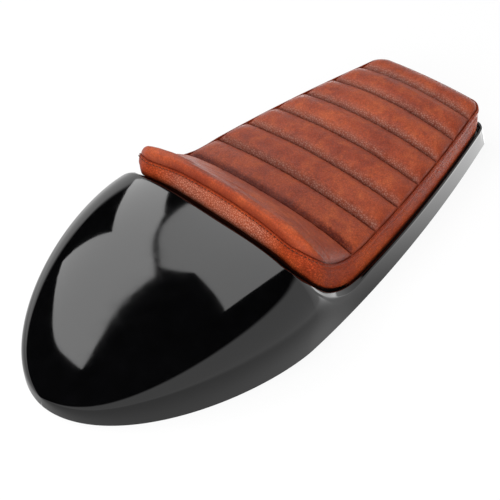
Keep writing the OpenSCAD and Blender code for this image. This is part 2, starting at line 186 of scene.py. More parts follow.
def weld(mesh):
    """Joins coincident points and turns every face outwards."""
    bm = bmesh.new()
    bm.from_mesh(mesh)
    bmesh.ops.remove_doubles(bm, verts=bm.verts, dist=WELD_DISTANCE)
    bmesh.ops.recalc_face_normals(bm, faces=bm.faces)
    bm.to_mesh(mesh)
    bm.free()


def grid_quads(rows, cols, start=0, wrap_rows=False, wrap_cols=False):
    quads = []
    for r in range(rows if wrap_rows else rows - 1):
        below = start + ((r + 1) % rows) * cols
        for c in range(cols if wrap_cols else cols - 1):
            a = start + r * cols
            quads.append((a + c, below + c, below + (c + 1) % cols, a + (c + 1) % cols))
    return quads


def set_attribute(obj, name, values):
    attribute = obj.data.attributes.new(name, "FLOAT", "POINT")
    attribute.data.foreach_set("value", np.asarray(values, np.float32).ravel())


def smooth_noise(points, scale, seed):
    shift = Vector((seed * 17.3, seed * 5.1, seed * 9.7))
    flat = (points / np.asarray(scale, float)).reshape(-1, 3)
    return np.array([noise.noise(Vector(p) + shift) for p in flat]).reshape(points.shape[:-1])


WELD_DISTANCE = 0.00001
ARCH_POINTS = 44
ROUND_POINTS = 7
MIDDLE_POINTS = 26
LEAN_STEPS = 20
EDGE_STEPS = 12
EDGE_RADIUS = 1.8
HOLE_SIDES = 64


def tray_distance(x, y):
    """How far a point of the shell is outside the opening of the tray."""
    start = float(core_half(CREST_X, TRAY_OFFSET))
    along = x - CREST_X
    if along < 0:
        corner = np.hypot(along - TRAY_CORNER, y - start) - TRAY_CORNER
        return np.where(y > start, corner, -along)
    stop = float(core_half(x, TRAY_OFFSET))
    if along >= TRAY_CORNER:
        return y - stop
    arc = start + math.sqrt(TRAY_CORNER**2 - (TRAY_CORNER - along) ** 2)
    return np.hypot(along - TRAY_CORNER, np.maximum(y - stop + arc - start, 0)) - TRAY_CORNER


def edge_form(x, y, z):
    """Rounds the edge of the tray opening and lifts the narrow ledge beside it off the flank."""
    distance = np.maximum(tray_distance(x, y), 0)
    fade = float(share(x, CREST_X + 5, CREST_X + 40)) * (1 - float(flatness(x)))
    if fade > 0:
        start = np.interp(EDGE_RADIUS, distance[::-1], z[::-1])
        raised = np.clip(start - LEDGE_SLOPE * (distance - EDGE_RADIUS) - z, 0, LEDGE_CREASE)
        ledge = share(LEDGE_WIDTH + CREASE_RUN - distance, 0, CREASE_RUN) * (distance > EDGE_RADIUS)
        z = z + fade * ledge * raised
    return z - corner_in(distance, EDGE_RADIUS)


def leaning_flank(half, ledge, edge, rim):
    """A flank that leans in, turns over with a round edge, and runs inwards as a narrow ledge."""
    turn = np.linspace(0, math.pi / 2, EDGE_STEPS)[1:]
    run = ARCH_POINTS - LEAN_STEPS - EDGE_STEPS + 2
    y = np.concatenate([np.linspace(half, ledge, LEAN_STEPS), ledge - RIM_ROUND * (1 - np.cos(turn)),
                        np.linspace(ledge - RIM_ROUND, edge, run)[1:]])
    z = np.concatenate([np.linspace(0, rim - RIM_ROUND, LEAN_STEPS), rim - RIM_ROUND * (1 - np.sin(turn)),
                        np.full(run - 1, rim)])
    return y, z


def outer_flank(x, stop):
    half, top, flat = float(edge_half(x)), float(arch_top(x)), float(flatness(x))
    rim = RIM_HEIGHT - float(corner_in(NOSE_X - x, RIM_ROUND))
    ledge = max(half - float(inset(x)) * RIM_LEAN, stop + RIM_ROUND * 1.5)
    edge = min(stop + EDGE_RADIUS, half)
    outside = edge + min(LEDGE_REACH, (half - edge) * 0.6)
    last, near = (math.acos(min(y / half, 1) ** (SECTION_POWER / 2)) for y in (edge, outside))
    # Half of the points stand on the last stretch, where the ledge is
    angle = np.concatenate([near * np.linspace(0, 1, ARCH_POINTS - LEDGE_POINTS + 1)[:-1] ** 1.3,
                            np.linspace(near, last, LEDGE_POINTS)])
    turn_y, turn_z = leaning_flank(half, ledge, edge, rim)
    y = mix(half * np.cos(angle) ** (2 / SECTION_POWER), turn_y, flat)
    z = mix(top * np.sin(angle) ** (2 / SECTION_POWER), turn_z, flat)
    turn = np.linspace(0, math.pi / 2, ROUND_POINTS)[1:]
    end_y = edge - (edge - stop) * np.sin(turn)
    end_z = mix(arch_height(half, top, end_y), rim, flat)
    return np.concatenate([y, end_y]), np.concatenate([z, end_z])


LEDGE_CREASE = 2.6
LEDGE_WIDTH = 6.0
LEDGE_SLOPE = 0.3
LEDGE_REACH = 9.0
LEDGE_POINTS = 20
CREASE_RUN = 1.6


def inner_flank(x, stop):
    half = max(float(edge_half(x)) - WALL, TIP_HALF / 2)
    top, flat = float(arch_top(x)) - WALL, float(flatness(x))
    under, rim = TRAY_HEIGHT - WALL, RIM_HEIGHT - WALL
    count = ARCH_POINTS + ROUND_POINTS - 1
    t = np.linspace(0, 1, count)
    ledge = max(float(edge_half(x)) - float(inset(x)) * RIM_LEAN, stop - WALL + RIM_ROUND * 1.5) - WALL
    room = ledge - stop
    opened = max(float(ease(share(room, -WALL / 2, WALL / 2))) * float(ease(share(TRAY_FRONT - WALL - x, 0, FRONT_CORNER))),
                 1 - flat)
    angle = math.acos(min(stop / half, 1) ** (SECTION_POWER / 2)) * t**1.5
    lean_y, lean_z = leaning_flank(half, max(ledge, stop + RIM_ROUND * 1.5), stop, rim)
    lean_y = np.concatenate([lean_y, np.full(count - len(lean_y), stop)])
    lean_z = np.concatenate([lean_z, np.full(count - len(lean_z), rim)])
    y = mix(half * np.cos(angle) ** (2 / SECTION_POWER), lean_y, flat)
    z = mix(top * np.sin(angle) ** (2 / SECTION_POWER), lean_z, flat)
    shut_y, shut_z = mix(half, stop, t), under * t
    return mix(shut_y, y, opened), mix(shut_z, z, opened)


def mirrored(x, y, z):
    right = np.stack([np.full(len(y), x), -y, z], 1)
    left = np.stack([np.full(len(y), x), y, z], 1)[:-1][::-1]
    return np.concatenate([right, left])


def hump_section(x):
    half, top = float(edge_half(x)), float(arch_top(x))
    stop = half * float(core_half(CREST_X, TRAY_OFFSET)) / float(edge_half(CREST_X))
    y, z = outer_flank(x, stop)
    middle = stop * (1 - np.arange(1, MIDDLE_POINTS + 1) / MIDDLE_POINTS)
    y, z = np.append(y, middle), np.append(z, arch_height(half, top, middle))
    return mirrored(x, y, edge_form(x, y, z) if x > CREST_X - 20 else z)


def tray_section(x):
    stop = float(core_half(x, TRAY_OFFSET))
    y, z = outer_flank(x, stop)
    z = edge_form(x, y, z)
    middle = stop * (1 - np.arange(MIDDLE_POINTS) / (MIDDLE_POINTS - 1))
    return mirrored(x, np.append(y, middle), np.append(z, np.full(MIDDLE_POINTS, TRAY_HEIGHT)))


def front_section(x):
    half = float(edge_half(x))
    stop = half * float(core_half(TRAY_FRONT, TRAY_OFFSET)) / float(edge_half(TRAY_FRONT))
    y, z = outer_flank(x, stop)
    middle = stop * (1 - np.arange(1, MIDDLE_POINTS + 1) / MIDDLE_POINTS)
    return mirrored(x, np.append(y, middle), np.append(z, np.full(MIDDLE_POINTS, z[-1])))


def inner_section(x, in_hump):
    half = max(float(edge_half(x)) - WALL, TIP_HALF / 2)
    if in_hump:
        anchor = CREST_X - WALL
        stop = half * float(core_half(anchor, TRAY_OFFSET + WALL)) / (float(edge_half(anchor)) - WALL)
        middle = stop * (1 - np.arange(1, MIDDLE_POINTS + 1) / MIDDLE_POINTS)
        top = arch_height(half, float(arch_top(x)) - WALL, middle)
    else:
        stop = float(core_half(x, TRAY_OFFSET + WALL))
        middle = stop * (1 - np.arange(MIDDLE_POINTS) / (MIDDLE_POINTS - 1))
        top = np.full(MIDDLE_POINTS, TRAY_HEIGHT - WALL)
    y, z = inner_flank(x, stop)
    return mirrored(x, np.append(y, middle), np.append(z, top))


HUMP_STEPS = 90
CREST_STEPS = 8


def hump_places(start, end):
    turned = [mix(start, end, 1 - math.cos(math.pi / 2 * k / HUMP_STEPS)) for k in range(HUMP_STEPS + 1)]
    edge = EDGE_RADIUS + 0.1
    kept = [x for x in turned if x < end - edge]
    return kept + [end - EDGE_RADIUS * (1 - math.sin(math.pi / 2 * k / CREST_STEPS)) for k in range(CREST_STEPS + 1)]


def tray_places(start, corner, end):
    turn = [start + corner * (1 - math.cos(math.pi / 2 * k / 26)) for k in range(27)]
    side = [mix(start + corner, end - FRONT_CORNER, (k / 60) ** 1.2) for k in range(1, 61)]
    front = [end - FRONT_CORNER * (1 - math.sin(math.pi / 2 * k / 14)) for k in range(1, 15)]
    return turn + side + front


def pan_holes():
    """Place and radius of every hole through the tray floor."""
    nuts = [(NUTS_X + x * NUT_SPACING_X / 2, y * NUT_SPACING_Y / 2, NUT_HOLE / 2) for x in (-1, 1) for y in (-1, 1)]
    length = CORE_FRONT - CORE_REAR
    rows = [CORE_REAR + length * place for place in SCREW_PLACES]
    screws = [(x, y * (float(core_half(x)) - SCREW_EDGE), SCREW_HOLE / 2) for x in rows for y in (-1, 1)]
    return nuts + screws


def drill(obj, holes, low, high):
    verts, faces = [], []
    for x, y, radius in holes:
        start = len(verts)
        for z in (low, high):
            for k in range(HOLE_SIDES):
                turn = 2 * math.pi * k / HOLE_SIDES
                verts.append((x + radius * math.cos(turn), y + radius * math.sin(turn), z))
        ring = range(HOLE_SIDES)
        faces.append(tuple(start + k for k in reversed(ring)))
        faces.append(tuple(start + HOLE_SIDES + k for k in ring))
        faces += [(start + k, start + (k + 1) % HOLE_SIDES, start + HOLE_SIDES + (k + 1) % HOLE_SIDES,
                   start + HOLE_SIDES + k) for k in ring]
    cutter = mesh_object("cutter", verts, faces)
    modifier = obj.modifiers.new("holes", "BOOLEAN")
    modifier.operation = "DIFFERENCE"
    modifier.solver = "MANIFOLD"
    modifier.object = cutter
    bpy.context.view_layer.update()
    cut = bpy.data.meshes.new_from_object(obj.evaluated_get(bpy.context.evaluated_depsgraph_get()))
    obj.modifiers.remove(modifier)
    if len(cut.polygons) > len(obj.data.polygons) / 2:
        obj.data = cut
    bpy.data.objects.remove(cutter)


def build_shell():
    hump = hump_places(TAIL_X, CREST_X)
    tray = tray_places(CREST_X, TRAY_CORNER, TRAY_FRONT)
    front = [NOSE_X - FRONT_RIM * (1 - k / 8) ** 2 for k in range(9)]
    outer = np.array([hump_section(x) for x in hump] + [tray_section(x) for x in tray] + [front_section(x) for x in front])
    inner_hump = [mix(TAIL_X + WALL, CREST_X - WALL, (x - TAIL_X) / HUMP_LENGTH) for x in hump]
    inner_tray = tray_places(CREST_X - WALL, TRAY_CORNER + WALL, TRAY_FRONT - WALL)
    inner = np.array([inner_section(x, True) for x in inner_hump] + [inner_section(x, False) for x in inner_tray])
    rows, cols = outer.shape[:2]
    inner_rows = len(inner)
    start = rows * cols
    verts = np.concatenate([outer.reshape(-1, 3), inner.reshape(-1, 3)])
    faces = grid_quads(rows, cols)
    skin_faces = len(faces)
    faces += [quad[::-1] for quad in grid_quads(inner_rows, cols, start)]
    # The lower edge joins the two skins
    for r in range(rows - 1):
        i, j = min(r, inner_rows - 1), min(r + 1, inner_rows - 1)
        for c in (0, cols - 1):
            strip = [r * cols + c, (r + 1) * cols + c, start + j * cols + c, start + i * cols + c]
            faces.append(tuple(dict.fromkeys(strip)))
    # Faces that close the tail and the nose, outside and inside
    for ring_start, ring in ((0, outer[0]), ((rows - 1) * cols, outer[-1]), (start, inner[0]),
                             (start + (inner_rows - 1) * cols, inner[-1])):
        centre = len(verts)
        verts = np.append(verts, [[ring[0, 0], 0, ring[cols // 2, 2] / 2]], axis=0)
        faces += [(centre, ring_start + k, ring_start + k + 1) for k in range(cols - 1)]
        if ring_start == 0:
            tail_centre = centre
        if ring_start == (rows - 1) * cols:
            nose_centre = centre
        if ring_start == start:
            inner_tail_centre = centre
    inner_nose_centre = len(verts) - 1
    last, inner_last = (rows - 1) * cols, start + (inner_rows - 1) * cols
    for outer_ring, inner_ring, a, b in ((0, start, tail_centre, inner_tail_centre),
                                         (last, inner_last, nose_centre, inner_nose_centre)):
        right, left = outer_ring, outer_ring + cols - 1
        inner_right, inner_left = inner_ring, inner_ring + cols - 1
        faces += [(a, right, inner_right, b), (a, left, inner_left, b)]
    obj = mesh_object("shell_moulding", verts, faces)
    weld(obj.data)
    drill(obj, pan_holes(), TRAY_HEIGHT - WALL - 3, TRAY_HEIGHT + 3)
    finish_mesh(obj.data, 50)
    return obj


# Holes, nuts and screws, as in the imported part
NUTS_X = NOSE_X - 160.0
NUT_SPACING_X, NUT_SPACING_Y = 180.0, 100.0
NUT_HOLE = 9.8
SCREW_PLACES = (0.07, 0.52, 0.93)
SCREW_EDGE = 22.0
SCREW_HOLE = 4.8


# Cushion: stations along the seat with the way outwards at each, and shares across it
FRONT_CROWN = 0.25
CORNER_DROP = 5.5
SEAM_SAG = 4.6
LEFT_REACH = 6.0


def seam_line(x, v):
    lip = (LIP_HEIGHT - SEAM_HEIGHT) * (1 - share(x, CORE_REAR, CORE_REAR + LIP_RUN) ** LIP_START_POWER) ** LIP_POWER
    crown = CROWN * (1 - v * v) * mix(FRONT_CROWN, 1, share(CORE_FRONT - x, 0, PITCH))
    corner = share(np.abs(v), 0.5, 1) ** 2 * (1 - share(x, CORE_REAR + 30, CHANNELS[1]))
    return SEAM_HEIGHT + lip + crown - CORNER_DROP * corner


def rounding(d):
    return np.sqrt(np.maximum(1 - (1 - share(d, 0, EDGE_ROLL)) ** 2, 0))


def channel_distance(x):
    return np.min([np.abs(x - c) for c in CHANNELS], axis=0)


def padded_top(x, v):
    side = (1 - np.abs(v)) * core_half(x)
    edge = rounding(side) * rounding(x - CORE_REAR) * rounding(CORE_FRONT - x)
    dip = CHANNEL_DEPTH * (1 - share(channel_distance(x), 0, PITCH / 2)) ** 2.4
    lip = LIP_RISE * (1 - share(x, CORE_REAR, CHANNELS[0]) ** 2)
    # The seam of the lip hangs a little between its corners
    sag = SEAM_SAG * (1 - np.abs(v) ** 6) * (1 - share(x, CORE_REAR, CORE_REAR + 40))
    return seam_line(x, v) + edge * (EDGE_RISE + lip - dip) - sag * (1 - edge)


def leaned(x, v, z, top):
    up = (z - PAN_TOP) / (top - PAN_TOP)
    forwards = LIP_LEAN * (1 - share(x, CORE_REAR, CHANNELS[0])) ** 2 + NOSE_LEAN * share(x, CHANNELS[-1], CORE_FRONT)
    # The lip leans out over the rim at its left end
    over = LEFT_REACH * share(v, 0.7, 1) * share(up, 0.5, 0.85) * (1 - share(x, CORE_REAR + 10, CORE_REAR + 80))
    return np.stack([x + up * forwards - over / 2, v * (core_half(x) - up * BAND_LEAN) + over, z], -1)


PAN_TOP = PAN_BOTTOM + 6.0
STATION_STEP = 1.15
COLUMN_COUNT = 150
TURN_STEPS = 22


def station_list(step=STATION_STEP, turn_steps=TURN_STEPS):
    """Rows of place along the seat and way outwards there, from the rear of the cushion to its front."""
    turn = np.linspace(0, math.pi / 2, turn_steps)
    rear = [(CORE_REAR + REAR_CORNER * (1 - math.cos(t)), -math.cos(t), math.sin(t)) for t in turn]
    front = [(CORE_FRONT - FRONT_CORNER * (1 - math.sin(t)), math.sin(t), math.cos(t)) for t in turn]
    marks = [CORE_REAR + REAR_CORNER] + CHANNELS + [CORE_FRONT - FRONT_CORNER]
    side = []
    for a, b in zip(marks, marks[1:]):
        t = np.linspace(0, 1, max(4, int((b - a) / step)) + 1)[1:]
        # Closer together at the channels
        t = 0.5 - 0.5 * np.cos(math.pi * t) if b - a > PITCH / 2 else t
        side += [(a + (b - a) * k, 0.0, 1.0) for k in t]
    return np.array(rear + side[:-1] + front)


def column_list(count=COLUMN_COUNT):
    return np.sin(np.linspace(-math.pi / 2, math.pi / 2, count))


def rim_cells(rows, cols):
    return ([(0, c) for c in range(cols)] + [(r, cols - 1) for r in range(1, rows)]
            + [(rows - 1, c) for c in range(cols - 2, -1, -1)] + [(r, 0) for r in range(rows - 2, 0, -1)])


def closed_layers(upper, lower, rows, cols):
    """Two layers of one grid, joined along their rim."""
    count = rows * cols
    cells = rim_cells(rows, cols)
    faces = [quad[::-1] for quad in grid_quads(rows, cols)] + grid_quads(rows, cols, count)
    for a, b in zip(cells, cells[1:] + cells[:1]):
        i, j = a[0] * cols + a[1], b[0] * cols + b[1]
        faces.append((i, j, j + count, i + count))
    return np.concatenate([upper.reshape(-1, 3), lower.reshape(-1, 3)]), faces


# Folds of the lip and its ramp, as far as the middle line: half widths, places behind the rear
# edge there, height and width
LIP_FOLDS = (
    ((0, 20, 40, 60, 80, 92, 101, 106), (24, 20, 16, 13, 11, 9.5, 13, 22), 1.5, 2.6),
    ((0, 20, 40, 60, 80, 92, 101, 106), (34, 30, 25, 21, 18.5, 17, 19, 26), -3.6, 4.6),
    ((13, 30, 45, 63, 80, 95), (9, 7, 5.5, 4.5, 4.5, 6), -0.7, 1.5),
    ((48, 62, 76, 92, 100, 106), (44, 40, 35.5, 31, 30, 28), -1.9, 2.3),
    ((0, 25, 50, 70, 90), (48, 45, 40, 34, 28), 1.3, 4.0),
)
FOLD_FADE = 10.0
VALLEY_DEPTH = 2.6
VALLEY_RISE = 5.2
VALLEY_FALL = 2.0


def channel_side(x):
    """Place measured from the nearest channel, positive towards the nose."""
    gaps = np.array([x - c for c in CHANNELS])
    return np.take_along_axis(gaps, np.argmin(np.abs(gaps), axis=0)[None], axis=0)[0]


def leather_relief(x, v):
    """Small folds, puckers and dents of the leather over its plain padded form."""
    half = core_half(x)
    side = (1 - np.abs(v)) * half
    to_edge = np.minimum(side, np.minimum(x - CORE_REAR, CORE_FRONT - x))
    to_channel = channel_distance(x)
    flat = np.stack([x, v * half, np.zeros_like(x)], -1)
    relief = -1.5 * np.exp(-(to_channel / 1.0) ** 2) * share(to_edge, 0, 3)
    pucker = smooth_noise(flat, (26, 3.2, 1), 1) + 0.5 * smooth_noise(flat, (14, 1.7, 1), 2)
    relief = relief + 0.75 * pucker * np.exp(-to_channel / 6.5) * share(to_edge, 0, 6)
    relief = relief + 0.5 * smooth_noise(flat, (30, 42, 1), 3) * share(to_edge, 0, 12)
    relief = relief + 0.22 * smooth_noise(flat, (7, 9, 1), 4) * share(to_edge, 0, 8)
    across = np.abs(v * half)
    sway = 1.6 * smooth_noise(flat, (40, 55, 1), 5)
    for halves, places, height, width in LIP_FOLDS:
        middle = CORE_REAR + np.interp(across, halves, places) + sway * share(92 - across, 0, 30)
        ends = share(across, halves[0] - FOLD_FADE, halves[0]) * share(halves[-1] + FOLD_FADE - across, 0, FOLD_FADE)
        fold = np.exp(-((x - middle) / width) ** 2) * ends * (0.85 + 0.4 * smooth_noise(flat, (25, 25, 1), 6))
        relief = relief + height * fold * share(to_edge, 0, 3)
    # Each roll rises steeply from the channel behind it
    place = channel_side(x)
    valley = np.where(place > 0, np.exp(-((place / VALLEY_RISE) ** 2)), np.exp(-((place / VALLEY_FALL) ** 2)))
    relief = relief - VALLEY_DEPTH * valley * share(to_edge, 0, 8)
    return relief - 2.2 * (1 - share(to_edge, 0, 2.2)) ** 2, to_edge, to_channel


def build_top(stations, columns):
    rows, cols = len(stations), len(columns)
    x = stations[:, 0][:, None] * np.ones(cols)[None, :]
    v = columns[None, :] * np.ones(rows)[:, None]
    top = padded_top(x, v)
    relief, to_edge, to_channel = leather_relief(x, v)
    upper = leaned(x, v, top + relief, top)
    lower = leaned(x, v, top + np.minimum(relief, 0) - COVER, top)
    verts, faces = closed_layers(upper, lower, rows, cols)
    obj = mesh_object("cover_top", verts, faces, 60)
    # Painted shade along the channels and round the edge of the panel
    crease_shade = np.maximum(np.exp(-to_channel / 2.0) * share(to_edge, -2, 3), np.exp(-to_edge / 1.2))
    crest = (1 - (1 - share(to_channel, 0, PITCH / 2)) ** 1.5) * share(to_edge, 2, 16)
    set_attribute(obj, "crease_shade", np.concatenate([crease_shade, crease_shade]))
    set_attribute(obj, "crest", np.concatenate([crest, crest]))
    # Slopes just in front of each channel: strong painted shade at the first, light painted shade and painted sheen at
    # the others
    slope = np.exp(-(((channel_side(x) - 3.0) / 3.4) ** 2)) * share(to_edge, 0, 6)
    slope = slope * (1.15 + 0.6 * smooth_noise(upper, (20, 14, 20), 9))
    first = x < CHANNELS[0] + PITCH / 2
    channel_and_corner_shade = np.clip(slope * np.where(first, 1.0, 0.3), 0, 1)
    set_attribute(obj, "sheen", np.concatenate([np.clip(slope * ~first, 0, 1)] * 2))
    set_attribute(obj, "channel_and_corner_shade", np.concatenate([channel_and_corner_shade, channel_and_corner_shade]))
    return obj


def band_frame(stations, columns):
    cells = rim_cells(len(stations), len(columns))
    last = len(stations) - 1
    x = np.array([stations[r, 0] for r, c in cells])
    v = np.array([columns[c] for r, c in cells])
    out_x = np.array([-1.0 if r == 0 else 1.0 if r == last else stations[r, 1] for r, c in cells])
    out_y = np.array([0.0 if r in (0, last) else stations[r, 2] * (1 if c else -1) for r, c in cells])
    return x, v, out_x, out_y


def band_point(x, v, out_x, out_y, out, z, top):
    place = leaned(x, v, np.maximum(z, PAN_TOP), top)
    return np.stack([place[:, 0] + out_x * out, place[:, 1] + out_y * out, z], -1)


BAND_ROWS = 28
WELT_BELOW, WELT_WIDTH, WELT_RISE = 1.6, 1.5, 0.9
SEWN_BELOW, SEWN_WIDTH, SEWN_DEPTH = 5.4, 1.4, 0.35
LIP_SINK = 8.5
TUCK = 3.0
INNER_WALL = 2.6
TUCK_RUN = 3.0


def build_band(stations, columns):
    x, v, out_x, out_y = band_frame(stations, columns)
    top = padded_top(x, v)
    swell = BAND_SWELL * (1 - np.maximum(out_x, 0))
    # Height of the shell at the edge of the opening that faces each point
    level = rim_level(x + np.minimum(out_x, 0) * TRAY_OFFSET, np.abs(v) * core_half(x) + np.abs(out_y) * TRAY_OFFSET)
    # The lip leans away from the hump, so that its cover turns in lower down
    level = level - LIP_SINK * share(-out_x, 0, 1) ** 1.5
    # The welt is flat along the raised lip
    plain = 1 - share(-out_x, 0, 0.6)
    rows = []
    turn_low, turn_high = np.clip(level - 1, PAN_TOP + 1, top - 8), np.clip(level + TUCK_RUN, PAN_TOP + 6, top - 4)
    # Rows stand closer together where the cover turns in under the lip
    heights = [mix(PAN_TOP, turn_low, t) for t in np.linspace(0, 1, 9)[:-1]]
    heights += [mix(turn_low, turn_high, t) for t in np.linspace(0, 1, 13)[:-1]]
    heights += [mix(turn_high, top, t) for t in np.linspace(0, 1, BAND_ROWS)]
    for z in heights:
        u = (z - PAN_TOP) / (top - PAN_TOP)
        below = top - z
        out = COVER + swell * (1 - u * u)
        turn = 1 - np.sqrt(1 - (1 - share(z, turn_low, turn_high)) ** 2)
        out = out - TUCK * turn * share(level, RIM_HEIGHT, RIM_HEIGHT + 20)
        out = np.maximum(out, -2.0)
        out = out + WELT_RISE * plain * np.exp(-((below - WELT_BELOW) / WELT_WIDTH) ** 2)
        out = out - SEWN_DEPTH * plain * np.exp(-((below - SEWN_BELOW) / SEWN_WIDTH) ** 2)
        rows.append((out, z, below))
    flat = np.zeros(len(x))
    rows = [(COVER + swell, flat + TRAY_HEIGHT, top - TRAY_HEIGHT)] + rows
    for out, rise in ((1.5, 0.55), (0.9, 0.75), (0.3, 0.4), (-0.1, -0.6), (-0.3, -2.2)):
        rows.append((flat + out, top + rise, flat - rise))
    rows.append((flat - INNER_WALL, top - 8.0, flat + 8.0))
    for out, z in ((-INNER_WALL, PAN_TOP), (-INNER_WALL, PAN_BOTTOM), (-TURN_UNDER, PAN_BOTTOM), (-TURN_UNDER, TRAY_HEIGHT)):
        rows.append((flat + out, flat + z, flat + 30))
    verts, depths = [], []
    for out, z, below in rows:
        point = band_point(x, v, out_x, out_y, out, z, top)
        wobble = 0.28 * smooth_noise(point, (9, 9, 9), 7) + 0.35 * smooth_noise(point, (30, 30, 20), 8)
        fade = share(below, 0, 6) * share(z, RIM_HEIGHT - 4, RIM_HEIGHT + 6)
        point[:, 0] += out_x * wobble * fade
        point[:, 1] += out_y * wobble * fade
        verts.append(point)
        depths.append(below)
    obj = mesh_object("cover_band", np.array(verts).reshape(-1, 3),
                      grid_quads(len(rows), len(x), wrap_rows=True, wrap_cols=True), 60)
    depth = np.array(depths)
    # Painted shade along the sewn line and the top seam
    sewn = np.exp(-np.abs(depth - SEWN_BELOW) / 1.2) * 0.25 * plain
    seam = np.exp(-np.abs(depth) / 0.8) * (depth < 0.4)
    set_attribute(obj, "crease_shade", np.maximum(sewn, seam))
    rear = share(-out_x, 0.3, 0.9) * share(0.9 - np.abs(v), 0, 0.3)
    set_attribute(obj, "crest", share(depth, 6, 14) * (0.6 - 0.4 * rear))
    # Painted shade: the cover below the rim's level is marked to be painted near black, where it sits in the gap
    low = 1 - share(np.array([row[1] for row in rows]), level - 1.5, level)
    set_attribute(obj, "under", low)
    # Painted shade in the rear corners of the band
    corner = 0.4 * np.exp(-(((x - CORE_REAR - 18) / 22) ** 2)) * (np.abs(v) > 0.6)
    set_attribute(obj, "channel_and_corner_shade", np.tile(corner, (len(rows), 1)))
    # Painted sheen on the rear of the lip band
    set_attribute(obj, "sheen", 0.85 * rear * share(depth, 1, 5) * (1 - low))
    return obj


FOAM_DRAW = 0.03
FOAM_SUNK = 12.0


def build_foam():
    stations, columns = station_list(4.0, 8), column_list(60)
    rows, cols = len(stations), len(columns)
    x = stations[:, 0][:, None] * np.ones(cols)[None, :]
    v = columns[None, :] * np.ones(rows)[:, None]
    top = padded_top(x, v)
    # The block is drawn in at its sides, clear of the tucked cover
    inward = np.stack([(CORE_REAR + CORE_FRONT) / 2 - x, -v * core_half(x), np.zeros_like(x)], -1)
    upper = leaned(x, v, top - FOAM_SUNK, top) + inward * FOAM_DRAW
    lower = np.stack([x, v * core_half(x), np.full_like(x, PAN_TOP)], -1) + inward * FOAM_DRAW
    verts, faces = closed_layers(upper, lower, rows, cols)
    return mesh_object("foam_block", verts, faces, 60)


STITCH_BELOW = 1.6
STITCH_OUT = 2.0
STITCH_PITCH = 4.0
STITCH_LENGTH = 2.9
STITCH_RADIUS = 0.38
STITCH_SIDES = 8
STITCH_RINGS = 7


def stitch_mesh(ends):
    verts, faces = [], []
    for start, end in ends:
        start, end = Vector(start), Vector(end)
        way = (end - start).normalized()
        across = way.cross(Vector((0, 0, 1))).normalized()
        up = across.cross(way)
        first = len(verts)
        for k in range(STITCH_RINGS):
            t = k / (STITCH_RINGS - 1)
            swell = math.sqrt(max(1 - (2 * t - 1) ** 4, 0.02)) * STITCH_RADIUS
            centre = start.lerp(end, t) - up * 0.25 * (2 * t - 1) ** 2
            for j in range(STITCH_SIDES):
                turn = 2 * math.pi * j / STITCH_SIDES
                verts.append(centre + across * swell * math.cos(turn) + up * swell * math.sin(turn))
        for quad in grid_quads(STITCH_RINGS, STITCH_SIDES, first, wrap_cols=True):
            faces.append(quad)
        faces.append(tuple(first + j for j in range(STITCH_SIDES)))
        faces.append(tuple(first + (STITCH_RINGS - 1) * STITCH_SIDES + j for j in reversed(range(STITCH_SIDES))))
    return [tuple(v) for v in verts], faces


def build_stitches():
    """One row of thread along the seam of the raised lip, from corner to corner."""
    stations, columns = station_list(), column_list(400)
    x, v, out_x, out_y = band_frame(stations, columns)
    top = padded_top(x, v)
    line = band_point(x, v, out_x, out_y, STITCH_OUT, top - STITCH_BELOW, top)
    rear = [k for k in range(len(x)) if x[k] < CORE_REAR + REAR_CORNER * 1.2]
    # The rim runs from the right corner across the rear, so the loop is cut in front
    rear.sort(key=lambda k: math.atan2(line[k, 1], -(line[k, 0] - CORE_REAR - 40)))
    path = line[rear]
    steps = np.linalg.norm(np.diff(path, axis=0), axis=1)
    keep = np.concatenate([[True], steps > 1e-6])
    path = path[keep]
    along = np.concatenate([[0], np.cumsum(np.linalg.norm(np.diff(path, axis=0), axis=1))])
    ends = []
    for k in range(int(along[-1] / STITCH_PITCH)):
        place = k * STITCH_PITCH
        ends.append(tuple(tuple(np.interp(p, along, path[:, i]) for i in range(3)) for p in (place, place + STITCH_LENGTH)))
    verts, faces = stitch_mesh(ends)
    return mesh_object("lip_stitches", verts, faces)


# Materials

def node_material(name):
    material = bpy.data.materials.new(name)
    material.use_nodes = True
    return material, material.node_tree.nodes, material.node_tree.links


def texture(nodes, links, kind, coords, **values):
    node = nodes.new(kind)
    links.new(coords, node.inputs["Vector"])
    for key, value in values.items():
        name = key.replace("_", " ").title()
        node.inputs[name].default_value = value
    return node


def ramp(nodes, links, source, stops):
    node = nodes.new("ShaderNodeValToRGB")
    links.new(source, node.inputs[0])
    elements = node.color_ramp.elements
    while len(elements) < len(stops):
        elements.new(0.5)
    for element, (place, colour) in zip(elements, stops):
        element.position = place
        element.color = (*colour, 1) if len(colour) == 3 else colour
    return node.outputs[0]


def grey(value):
    return (value, value, value)


def mixed(nodes, links, amount, first, second, blend="MIX"):
    node = nodes.new("ShaderNodeMix")
    node.data_type = "RGBA"
    node.blend_type = blend
    for socket, value in ((node.inputs[0], amount), (node.inputs[6], first), (node.inputs[7], second)):
        if isinstance(value, (int, float)):
            socket.default_value = value
        elif isinstance(value, tuple):
            socket.default_value = (*value, 1)
        else:
            links.new(value, socket)
    return node.outputs[2]


def maths(nodes, links, operation, first, second=None):
    node = nodes.new("ShaderNodeMath")
    node.operation = operation
    for socket, value in ((node.inputs[0], first), (node.inputs[1], second)):
        if value is None:
            continue
        if isinstance(value, (int, float)):
            socket.default_value = value
        else:
            links.new(value, socket)
    return node.outputs[0]


def bump(nodes, links, heights, bsdf):
    """Chains bumps of (height, strength, distance) into the shader's normal."""
    normal = None
    for height, strength, distance in heights:
        node = nodes.new("ShaderNodeBump")
        node.inputs["Strength"].default_value = strength
        node.inputs["Distance"].default_value = distance
        links.new(height, node.inputs["Height"])
        if normal is not None:
            links.new(normal, node.inputs["Normal"])
        normal = node.outputs[0]
    links.new(normal, bsdf.inputs["Normal"])


def attribute(nodes, name):
    node = nodes.new("ShaderNodeAttribute")
    node.attribute_name = name
    return node.outputs["Fac"]


